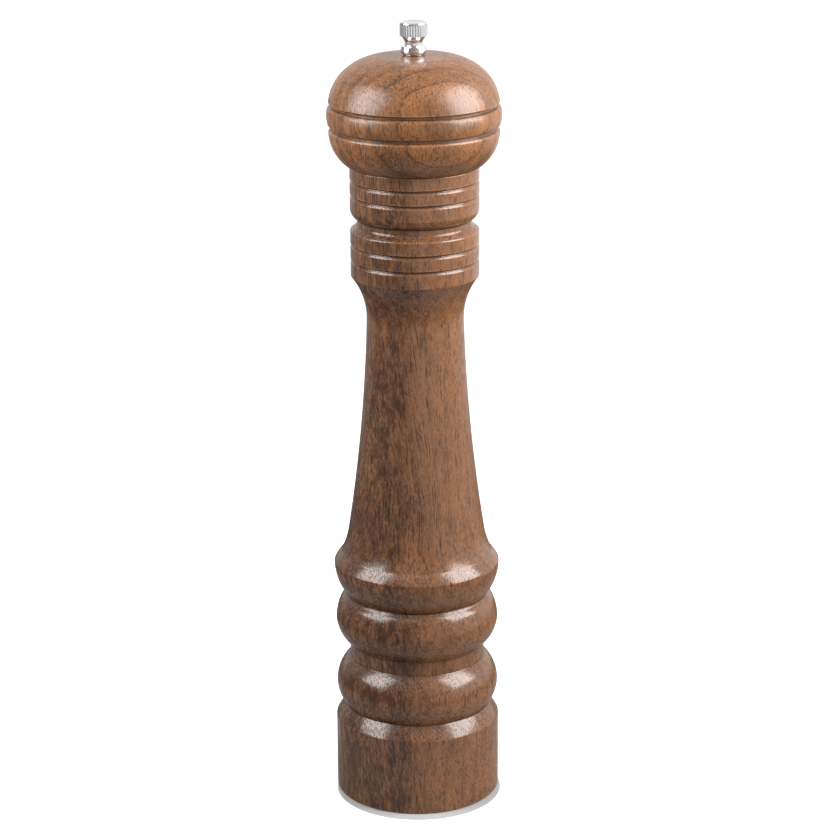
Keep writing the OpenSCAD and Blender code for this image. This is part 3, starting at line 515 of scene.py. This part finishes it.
def noise(tree, vector, detail=2.0, roughness=0.5):
    """The noise node itself, whose Fac and Color outputs vary about 0.5 over one unit of length."""
    return add(tree, "ShaderNodeTexNoise", {"Vector": vector, "Scale": 1.0, "Detail": detail,
                                            "Roughness": roughness})


def swing(tree, made):
    """A noise node's value, moved so that it swings about 0."""
    return maths(tree, "SUBTRACT", made.outputs["Fac"], 0.5)


def wander(tree, vector, reach):
    """A sideways shift that changes from place to place, by up to about a quarter of reach."""
    way = {0: noise(tree, vector, 1.0).outputs["Color"], 1: (0.5, 0.5, 0.5)}
    way = add(tree, "ShaderNodeVectorMath", way, operation="SUBTRACT").outputs[0]
    way = stretched(tree, way, 1, 1, 0)
    return add(tree, "ShaderNodeVectorMath", {0: way, "Scale": reach}, operation="SCALE").outputs[0]


def blend(tree, factor, first, second):
    """The first colour at 0 and the second at 1."""
    mixed = add(tree, "ShaderNodeMix", {"Factor": factor, 6: first, 7: second}, data_type="RGBA")
    return mixed.outputs[2]


def new_group(name, inputs, outputs):
    """An empty node group with named sockets, and its two end nodes."""
    group = bpy.data.node_groups.new(name, "ShaderNodeTree")
    for socket, (kind, value) in inputs.items():
        made = group.interface.new_socket(socket, in_out="INPUT", socket_type=kind)
        made.default_value = value
    for socket, kind in outputs.items():
        group.interface.new_socket(socket, in_out="OUTPUT", socket_type=kind)
    return group, group.nodes.new("NodeGroupInput").outputs, group.nodes.new("NodeGroupOutput").inputs


FLOAT, COLOUR = "NodeSocketFloat", "NodeSocketColor"

# %% [markdown]
# ## Wood
# Wood is a bundle of upright tubes laid down year by year. So the pattern is solid and not wrapped
# round: growth rings are cylinders about a pith that lies outside the mill, fibres are noise drawn
# out along the grain, and pores are thin upright tubes. Where the turned surface runs along the
# tubes they show as dashes, and where it cuts across them, on a bead's top, they show as dots. The
# same coordinates serve the colour, the gloss and the bumps, so that they always agree.

# %% Wood figure group
def wood_figure():
    """Solid wood pattern on Object coordinates, worked out in millimetres."""
    group, given, out = new_group(
        "wood_figure",
        {
            "Pale": (COLOUR, (0.29, 0.124, 0.049, 1)),
            "Ripe": (COLOUR, (0.178, 0.075, 0.031, 1)),
            "Dark": (COLOUR, (0.05, 0.0185, 0.0078, 1)),
            "Pore": (COLOUR, (0.024, 0.01, 0.006, 1)),
            "Pith x": (FLOAT, 85.0),
            "Pith y": (FLOAT, 85.0),
            "Ring width": (FLOAT, 5.5),
            "Rings": (FLOAT, 0.14),
            "Wander": (FLOAT, 14.0),
            # Rise makes the wood darker towards the foot: painted shade
            "Rise": (FLOAT, 0.0),
            "Edge turn": (FLOAT, 0.0),
            # darkens the left side: partly heartwood, partly painted shade
            "Heart": (FLOAT, 0.0),
            "Pores": (FLOAT, 0.5),
            "Pore depth": (FLOAT, 0.04),
            "Satin": (FLOAT, 0.2),
            "Tone": (FLOAT, 0.5),
        },
        {"Colour": COLOUR, "Roughness": FLOAT, "Height": FLOAT},
    )
    coords = add(group, "ShaderNodeTexCoord").outputs
    p = stretched(group, coords["Object"], 1000, 1000, 1000)

    # the grain leans a little and wanders slowly, so that fibres run out of a turned surface
    lean = add(group, "ShaderNodeMapping", {"Vector": p, "Rotation": (0.09, 0.075, 0)}).outputs[0]
    slow = wander(group, stretched(group, p, 0.022, 0.022, 0.01), given["Wander"])
    quick = wander(group, stretched(group, p, 0.2, 0.2, 0.06), 1.5)
    q = add(group, "ShaderNodeVectorMath", {0: lean, 1: slow}, operation="ADD").outputs[0]
    q = add(group, "ShaderNodeVectorMath", {0: q, 1: quick}, operation="ADD").outputs[0]
    axes = add(group, "ShaderNodeSeparateXYZ", {0: q}).outputs

    # growth rings: distance from the pith, counted in rings. Each one darkens slowly to a thin dark
    # line, and some years are darker than others
    dx = maths(group, "SUBTRACT", axes[0], given["Pith x"])
    dy = maths(group, "SUBTRACT", axes[1], given["Pith y"])
    far = maths(group, "SQRT", maths(group, "MULTIPLY_ADD", dx, dx, maths(group, "MULTIPLY", dy, dy)))
    ring = maths(group, "FRACT", maths(group, "DIVIDE", far, given["Ring width"]))
    late = maths(group, "MULTIPLY_ADD", between(group, ring, 0.86, 0.96), 0.8,
                 maths(group, "MULTIPLY", between(group, ring, 0.3, 0.96), 0.4))
    late = maths(group, "MULTIPLY", late, between(group, ring, 0.97, 0.999, 1.0, 0.0))
    early = between(group, ring, 0.0, 0.6, 1.0, 0.0)
    year = add(group, "ShaderNodeCombineXYZ", {0: maths(group, "MULTIPLY", far, 0.13)}).outputs[0]
    late = maths(group, "MULTIPLY_ADD", swing(group, noise(group, year, 1.0)), 1.6, late)

    # fibres, coarse and fine, flecks across them, cloudy patches, and blotches on the heart side. The
    # heart side is the left, and its darkening is partly heartwood and partly painted shade for the
    # weaker light there
    coarse = swing(group, noise(group, stretched(group, q, 0.5, 0.5, 0.045), 3.0, 0.65))
    fine = swing(group, noise(group, stretched(group, q, 2.2, 2.2, 0.45), 2.0, 0.6))
    fleck = swing(group, noise(group, stretched(group, q, 1.3, 1.3, 0.8), 2.0, 0.6))
    cloud = swing(group, noise(group, stretched(group, p, 0.09, 0.09, 0.04), 2.0, 0.5))
    blotch = swing(group, noise(group, stretched(group, q, 0.36, 0.36, 0.16), 3.0, 0.6))
    vein = swing(group, noise(group, stretched(group, q, 0.3, 0.3, 0.012), 1.0))
    vein = between(group, maths(group, "ABSOLUTE", vein), 0.0, 0.014, 1.0, 0.0)
    place = add(group, "ShaderNodeSeparateXYZ", {0: p}).outputs
    side = maths(group, "MULTIPLY_ADD", cloud, 10.0, place[0])
    heart_and_left_shade = maths(group, "MULTIPLY", between(group, side, 5.0, -10.0), given["Heart"])

    # a surface that faces up or down cuts across the tubes and shows end grain
    normal = add(group, "ShaderNodeSeparateXYZ", {0: coords["Normal"]}).outputs
    facing = maths(group, "ABSOLUTE", normal[2])

    # tone: 0 is dark, 0.5 ripe and 1 pale
    # Rise makes the tone darker towards the foot, painted shade for the weaker light lower down
    tone = maths(group, "MULTIPLY_ADD", place[2], given["Rise"], given["Tone"])
    tone = maths(group, "MULTIPLY_ADD", coarse, 0.7, tone)
    tone = maths(group, "MULTIPLY_ADD", fine, 0.95, tone)
    tone = maths(group, "MULTIPLY_ADD", fleck, maths(group, "MULTIPLY_ADD", facing, 0.6, 0.7), tone)
    tone = maths(group, "MULTIPLY_ADD", cloud, 0.35, tone)
    tone = maths(group, "SUBTRACT", tone, maths(group, "MULTIPLY", late, given["Rings"]))
    tone = maths(group, "MULTIPLY_ADD", vein, -0.16, tone)
    # the left side is darkened: partly heartwood, partly painted shade for the weaker light on the left
    patchy = maths(group, "MULTIPLY_ADD", blotch, -1.5, 0.4)
    tone = maths(group, "SUBTRACT", tone, maths(group, "MULTIPLY", heart_and_left_shade, patchy))

    # end grain drinks more stain
    tone = maths(group, "MULTIPLY_ADD", facing, -0.07, tone)

    # sanding wears the stain off a crisp edge and handling polishes it, and a concave corner gets painted
    # shade
    worn = between(group, given["Edge turn"], 0.25, 1.0)
    corner_shade = between(group, given["Edge turn"], -0.3, -1.0)
    tone = maths(group, "MULTIPLY_ADD", worn, 0.35, tone)

    # pores: thin tubes that lean with the grain and run in and out of the surface, crowded in some
    # places and few in others
    cells = add(group, "ShaderNodeTexVoronoi", {"Vector": q, "Scale": 1.25, "Randomness": 1.0},
                voronoi_dimensions="2D", feature="F1").outputs["Distance"]
    crowd = noise(group, stretched(group, q, 0.4, 0.4, 0.22), 2.0).outputs["Fac"]
    crowd = maths(group, "MULTIPLY_ADD", heart_and_left_shade, 0.3, maths(group, "MULTIPLY_ADD", facing, 0.08, crowd))
    crowd = maths(group, "MULTIPLY_ADD", early, 0.12, crowd)
    widest = maths(group, "MULTIPLY", given["Pores"], 0.55)
    size = maths(group, "MULTIPLY", between(group, crowd, 0.3, 0.8), widest)
    pore = between(group, maths(group, "SUBTRACT", cells, size), -0.06, 0.03, 1.0, 0.0)

    dark_to_ripe = blend(group, maths(group, "MULTIPLY", tone, 2.0), given["Dark"], given["Ripe"])
    to_pale = blend(group, maths(group, "MULTIPLY_ADD", tone, 2.0, -1.0), dark_to_ripe, given["Pale"])
    open_grain = blend(group, maths(group, "MULTIPLY", pore, 0.8), to_pale, given["Pore"])
    # concave corners are darkened towards the pore colour: painted shade
    painted_corner_shade = maths(group, "MULTIPLY", corner_shade, 0.8)
    group.links.new(blend(group, painted_corner_shade, open_grain, given["Pore"]), out["Colour"])
    rough = maths(group, "MULTIPLY_ADD", fine, 0.15, given["Satin"])
    rough = maths(group, "MULTIPLY_ADD", worn, -0.12, rough)
    group.links.new(maths(group, "MULTIPLY_ADD", pore, 0.12, rough), out["Roughness"])
    level = maths(group, "MULTIPLY_ADD", fine, 0.014, maths(group, "MULTIPLY", coarse, 0.012))
    level = maths(group, "MULTIPLY_ADD", fleck, 0.013, level)
    hole = maths(group, "MULTIPLY", pore, given["Pore depth"])
    group.links.new(maths(group, "SUBTRACT", level, hole), out["Height"])
    return group


WOOD = wood_figure()
print("wood_figure has", len(WOOD.nodes), "nodes")

# %% [markdown]
# The lacquer lies thin over the stain, so one gloss does for both: a plain dielectric whose
# roughness and bump come from the group. The pores pull the lacquer in, and break up its highlights.

# %% Wood materials
def plain_material(name):
    """A new material, its node tree and its Principled BSDF."""
    material = bpy.data.materials.new(name)
    material.use_nodes = True
    tree = material.node_tree
    return material, tree, tree.nodes["Principled BSDF"]


def lay_pattern(tree, surface, group, values):
    """Lays a group's pattern on a shader: its colour, its roughness and its height as a bump."""
    pattern = add(tree, "ShaderNodeGroup", node_tree=group)
    for socket, value in values.items():
        pattern.inputs[socket.replace("_", " ")].default_value = value
    height = {"Strength": 1.0, "Distance": MM, "Height": pattern.outputs["Height"]}
    relief = add(tree, "ShaderNodeBump", height)
    tree.links.new(pattern.outputs["Colour"], surface.inputs["Base Color"])
    tree.links.new(pattern.outputs["Roughness"], surface.inputs["Roughness"])
    tree.links.new(relief.outputs["Normal"], surface.inputs["Normal"])
    return pattern


def lacquered_wood(name, **values):
    """Stained wood under satin lacquer. values are the figure group's inputs."""
    material, tree, surface = plain_material(name)
    figure = lay_pattern(tree, surface, WOOD, values)
    turn = add(tree, "ShaderNodeAttribute", attribute_name="edge_turn").outputs["Fac"]
    tree.links.new(turn, figure.inputs["Edge turn"])
    surface.inputs["IOR"].default_value = 1.55
    return material


# the body's left side is darkened, partly as painted shade
body_finish = lacquered_wood("lacquered_body_wood", Heart=0.7, Tone=0.46, Rise=0.0006, Pores=0.5)
head_finish = lacquered_wood(
    "lacquered_head_wood", Pale=(0.37, 0.16, 0.06, 1), Ripe=(0.25, 0.104, 0.037, 1),
    Dark=(0.08, 0.031, 0.013, 1), Pith_x=-35.0, Pith_y=115.0, Ring_width=5.4,
    Rings=0.34, Wander=2.0, Heart=0.15, Pores=0.54, Pore_depth=0.015, Satin=0.32)
print("two wood finishes:", body_finish.name, "and", head_finish.name)

# %% [markdown]
# ## Metal
# Bare and plated metal is never even: drawing and turning leave fine lines, handling leaves dull
# patches. One group gives both as a change in roughness and a small height, and each metal sets how
# strong they are and along which way the lines run.

# %% Metal marks group
def metal_marks():
    """Fine lines and dull patches, on Object coordinates in millimetres."""
    group, given, out = new_group(
        "metal_marks",
        {
            "Lines x": (FLOAT, 6.0),
            "Lines z": (FLOAT, 0.5),
            "Gloss": (FLOAT, 0.3),
            "Lines": (FLOAT, 0.1),
            "Patches": (FLOAT, 0.1),
            "Grit": (FLOAT, 0.0),
            "Bright": (COLOUR, (0.6, 0.6, 0.61, 1)),
            "Dull": (COLOUR, (0.4, 0.4, 0.41, 1)),
        },
        {"Colour": COLOUR, "Roughness": FLOAT, "Height": FLOAT},
    )
    p = stretched(group, add(group, "ShaderNodeTexCoord").outputs["Object"], 1000, 1000, 1000)
    scale = {0: given["Lines x"], 1: given["Lines x"], 2: given["Lines z"]}
    scale = add(group, "ShaderNodeCombineXYZ", scale).outputs[0]
    drawn = add(group, "ShaderNodeVectorMath", {0: p, 1: scale}, operation="MULTIPLY").outputs[0]
    lines = noise(group, drawn, 2.0).outputs["Fac"]
    patches = noise(group, stretched(group, p, 0.35, 0.35, 0.35), 3.0, 0.6).outputs["Fac"]
    grit = noise(group, stretched(group, p, 5, 5, 5), 2.0, 0.7).outputs["Fac"]
    uneven = maths(group, "SUBTRACT", lines, 0.5)
    rough = maths(group, "MULTIPLY_ADD", given["Lines"], uneven, given["Gloss"])
    uneven = maths(group, "SUBTRACT", patches, 0.5)
    rough = maths(group, "MULTIPLY_ADD", given["Patches"], uneven, rough)
    group.links.new(maths(group, "MULTIPLY_ADD", given["Grit"], 0.1, rough), out["Roughness"])
    dull = between(group, patches, 0.4, 0.65)
    group.links.new(blend(group, dull, given["Bright"], given["Dull"]), out["Colour"])
    grain = maths(group, "MULTIPLY", grit, maths(group, "MULTIPLY", given["Grit"], 0.1))
    scratch = maths(group, "MULTIPLY", given["Lines"], 0.02)
    group.links.new(maths(group, "MULTIPLY_ADD", lines, scratch, grain), out["Height"])
    return group


MARKS = metal_marks()
print("metal_marks has", len(MARKS.nodes), "nodes")


def marked_surface(name, metallic, **values):
    """A metal, or a moulding if metallic is 0, with the marks group's values."""
    material, tree, surface = plain_material(name)
    lay_pattern(tree, surface, MARKS, values)
    surface.inputs["Metallic"].default_value = metallic
    return material


# %% [markdown]
# The nut is chromed. The collar, the bridge, the drive plate, the screws and the rotor's washer are
# zinc plated, the shaft and the other washers are drawn steel, and the spring and the clip are dark
# spring wire. The burrs are sintered from powder, so they are dark and gritty, and the lower one sits
# in a die-cast holder. The bridge's bush is nylon. The same marks group serves them all with other
# values, which keeps the marks alike in scale.

# %% Metals and nylon
finishes = {
    "chrome": marked_surface(
        "polished_chrome", 1, Bright=(0.86, 0.86, 0.87, 1), Dull=(0.8, 0.8, 0.82, 1),
        Gloss=0.07, Lines=0.02, Patches=0.03),
    "zinc_steel": marked_surface(
        "zinc_plated_steel", 1, Bright=(0.66, 0.67, 0.68, 1), Dull=(0.5, 0.51, 0.52, 1),
        Gloss=0.34, Lines=0.12, Patches=0.2),
    "plain_steel": marked_surface(
        "drawn_steel", 1, Bright=(0.5, 0.5, 0.51, 1), Dull=(0.36, 0.36, 0.37, 1),
        Gloss=0.33, Lines=0.3, Patches=0.15, Lines_x=9.0, Lines_z=0.2),
    "spring_steel": marked_surface(
        "spring_wire", 1, Bright=(0.34, 0.34, 0.36, 1), Dull=(0.2, 0.2, 0.21, 1),
        Gloss=0.28, Lines=0.1, Patches=0.2),
    "burr_steel": marked_surface(
        "sintered_burr_steel", 1, Bright=(0.25, 0.25, 0.26, 1), Dull=(0.15, 0.15, 0.16, 1),
        Gloss=0.45, Patches=0.2, Grit=0.5),
    "holder_metal": marked_surface(
        "die_cast_holder", 1, Bright=(0.48, 0.48, 0.49, 1), Dull=(0.36, 0.36, 0.37, 1),
        Gloss=0.42, Patches=0.25, Grit=0.25),
    "nylon": marked_surface(
        "black_nylon", 0, Bright=(0.03, 0.03, 0.03, 1), Dull=(0.045, 0.045, 0.045, 1),
        Gloss=0.5, Patches=0.2, Grit=0.2),
    "walnut_body": body_finish,
    "walnut_head": head_finish,
}
print(len(finishes), "finishes")

# %% [markdown]
# The record gives each CAD piece a material slot. A dressed piece takes the finish of the piece that
# it stands for, and every other piece keeps its CAD mesh and gets the finish itself.

# %% Put the finishes on
slots = {row["node"]: row["material_slot"] for row in frame["record"]["subparts"]}
dressed = {"mill_body": body_wood, "mill_head": head_wood, "finial_nut": top_nut,
           "drive_shaft": shaft_bar, "grinder_spring": grind_spring}
for name, cad in frame["nodes"].items():
    piece = dressed.get(name, cad)
    piece.data.materials.clear()
    piece.data.materials.append(finishes[slots[name]])
print(len(frame["nodes"]), "nodes finished")

# %% [markdown]
# ## The studio
# The mill stands on white paper between two soft panels, one on each side, in a room that is bright
# behind it and on its right. The paper could be left to the lamps, but then it would have to be lit
# so strongly that the wood would wash out. So its material gives the camera white paper, and gives
# the wood the dimmer light that it would get from paper under such lamps.

# %% Floor
FLOOR_SIDE = 8.0
FLOOR_DROP = 0.00005  # so that the paper and the foot don't share one plane
SHADE_PLACE, SHADE_R = (0.0004, -0.0047, 0), 0.0321  # the shade shows most in front of the foot


def floor_material():
    """White paper to the camera, with a thin shade at the foot. It turns a little greyer far to the
    sides and in front, so that a bright rim shows against it. Mirrors see it bright only well away
    from the mill, and darker on the left than on the right. The wood gets back grey light from it.
    """
    material, tree, surface = plain_material("studio_floor")
    surface.inputs["Roughness"].default_value = 0.8
    surface.inputs["Specular IOR Level"].default_value = 0.1
    place = add(tree, "ShaderNodeTexCoord").outputs["Object"]
    away = add(tree, "ShaderNodeVectorMath", {0: place}, operation="LENGTH").outputs["Value"]
    across = add(tree, "ShaderNodeSeparateXYZ", {0: place}).outputs
    path = add(tree, "ShaderNodeLightPath").outputs
    mirrored = maths(tree, "MAXIMUM", path["Is Glossy Ray"], path["Is Transmission Ray"])
    mirrored = maths(tree, "MULTIPLY", mirrored, between(tree, away, 0.4, 0.95))
    mirrored = maths(tree, "MULTIPLY", mirrored, between(tree, across[0], -0.4, 0.1, 0.4, 1.0))
    mirrored = maths(tree, "MULTIPLY", mirrored, between(tree, across[1], -0.3, 0.3, 0.75, 0.8))
    white = maths(tree, "MAXIMUM", path["Is Camera Ray"], mirrored)
    grey = between(tree, away, 0.06, 0.3, 0.6, 0.2)
    grey = maths(tree, "MULTIPLY", grey, between(tree, path["Is Glossy Ray"], 0.0, 1.0, 1.0, 0.45))
    foot = {0: place, 1: SHADE_PLACE}
    foot = add(tree, "ShaderNodeVectorMath", foot, operation="DISTANCE").outputs["Value"]
    shade = between(tree, foot, SHADE_R, SHADE_R + 0.001)
    sides = between(tree, maths(tree, "ABSOLUTE", across[0]), 0.5, 1.0, 1.0, 0.72)
    fade = maths(tree, "MINIMUM", sides, between(tree, across[1], -1.0, -0.5, 0.72, 1.0))
    fade = maths(tree, "MULTIPLY_ADD", maths(tree, "SUBTRACT", fade, 1.0), path["Is Camera Ray"], 1.0)
    paper = maths(tree, "MULTIPLY", maths(tree, "MULTIPLY_ADD", shade, 0.46, 0.34), fade)
    paper = maths(tree, "MULTIPLY_ADD", maths(tree, "SUBTRACT", paper, grey), white, grey)
    tree.links.new(paper, surface.inputs["Base Color"])
    glow = maths(tree, "MULTIPLY", white, maths(tree, "MULTIPLY_ADD", shade, 0.52, 0.06))
    glow = maths(tree, "MULTIPLY", glow, fade)
    tree.links.new(glow, surface.inputs["Emission Color"])
    surface.inputs["Emission Strength"].default_value = 1.0
    return material


corners = np.array([[-1, -1, 0], [1, -1, 0], [1, 1, 0], [-1, 1, 0]]) * FLOOR_SIDE / 2
corners = corners - [0, 0, FLOOR_DROP]
sheet = bpy.data.meshes.new("studio_floor")
sheet.from_pydata(corners.tolist(), [], [(0, 1, 2, 3)])
floor = bpy.data.objects.new("studio_floor", sheet)
floor.data.materials.append(floor_material())
bpy.context.scene.collection.objects.link(floor)
print("paper", FLOOR_SIDE, "m wide")

# %% [markdown]
# A soft box is an area lamp. Each panel is wide and close, so that it shows as a broad patch on every
# bead, and the camera doesn't see the panels themselves.

# %% Lamps
AIM = Vector((0, 0, 0.36))  # the point that both panels face, a little above the mill


def panel(name, azimuth, distance, height, size, brightness):
    """A soft panel. azimuth goes from the camera's side to the right; brightness is 1 for white.

    A panel of area A that sends out brightness L in each direction has the power pi L A.
    """
    lamp = bpy.data.lights.new(name, "AREA")
    lamp.shape = "RECTANGLE"
    lamp.size, lamp.size_y = size
    lamp.energy = math.pi * brightness * size[0] * size[1]
    holder = bpy.data.objects.new(name, lamp)
    turn = math.radians(azimuth)
    place = Vector((distance * math.sin(turn), -distance * math.cos(turn), height))
    turned = (AIM - place).to_track_quat("-Z", "Y").to_matrix().to_4x4()
    holder.matrix_world = Matrix.Translation(place) @ turned
    holder.visible_camera = False
    bpy.context.scene.collection.objects.link(holder)
    print(name, "power", round(lamp.energy, 1), "W")


panel("left_panel", -71, 0.47, 0.5, (0.38, 0.46), 8.5)
panel("right_panel", 76, 0.47, 0.5, (0.42, 0.48), 9.6)

# %% [markdown]
# The rest of the light comes from the room. Chrome and lacquer mirror it, so its walls differ in
# brightness, and the change from one to the next is smooth, so no hard edge shows in the gloss.

# %% Room
ROOM = {  # axis, sign and brightness
    "right": (0, 1, 1.1),
    "left": (0, -1, 0.1),
    "back": (1, 1, 1.0),
    "front": (1, -1, 0.25),
    "top": (2, 1, 0.65),
}


def room_light():
    """Light from the room, by direction: each wall's brightness times the square of its cosine.

    For a direction (x, y, z) of length 1, x^2 + y^2 + z^2 = 1, so the walls' shares add up to 1 and
    the light goes smoothly from one wall to the next.
    """
    world = bpy.data.worlds.new("studio_room")
    bpy.context.scene.world = world
    world.use_nodes = True
    tree = world.node_tree
    tree.nodes.clear()
    way = add(tree, "ShaderNodeTexCoord").outputs["Generated"]
    way = add(tree, "ShaderNodeSeparateXYZ", {0: way}).outputs
    room = 0.0
    for axis, sign, brightness in ROOM.values():
        share = maths(tree, "MAXIMUM", maths(tree, "MULTIPLY", way[axis], float(sign)), 0.0)
        room = maths(tree, "MULTIPLY_ADD", maths(tree, "MULTIPLY", share, share), brightness, room)
    light = add(tree, "ShaderNodeBackground", {"Color": (1, 1, 1, 1), "Strength": room})
    add(tree, "ShaderNodeOutputWorld", {"Surface": light.outputs[0]})


room_light()
print("walls' brightness:", {wall: brightness for wall, (_, _, brightness) in ROOM.items()})
bpy.context.scene.view_settings.view_transform = "Standard"
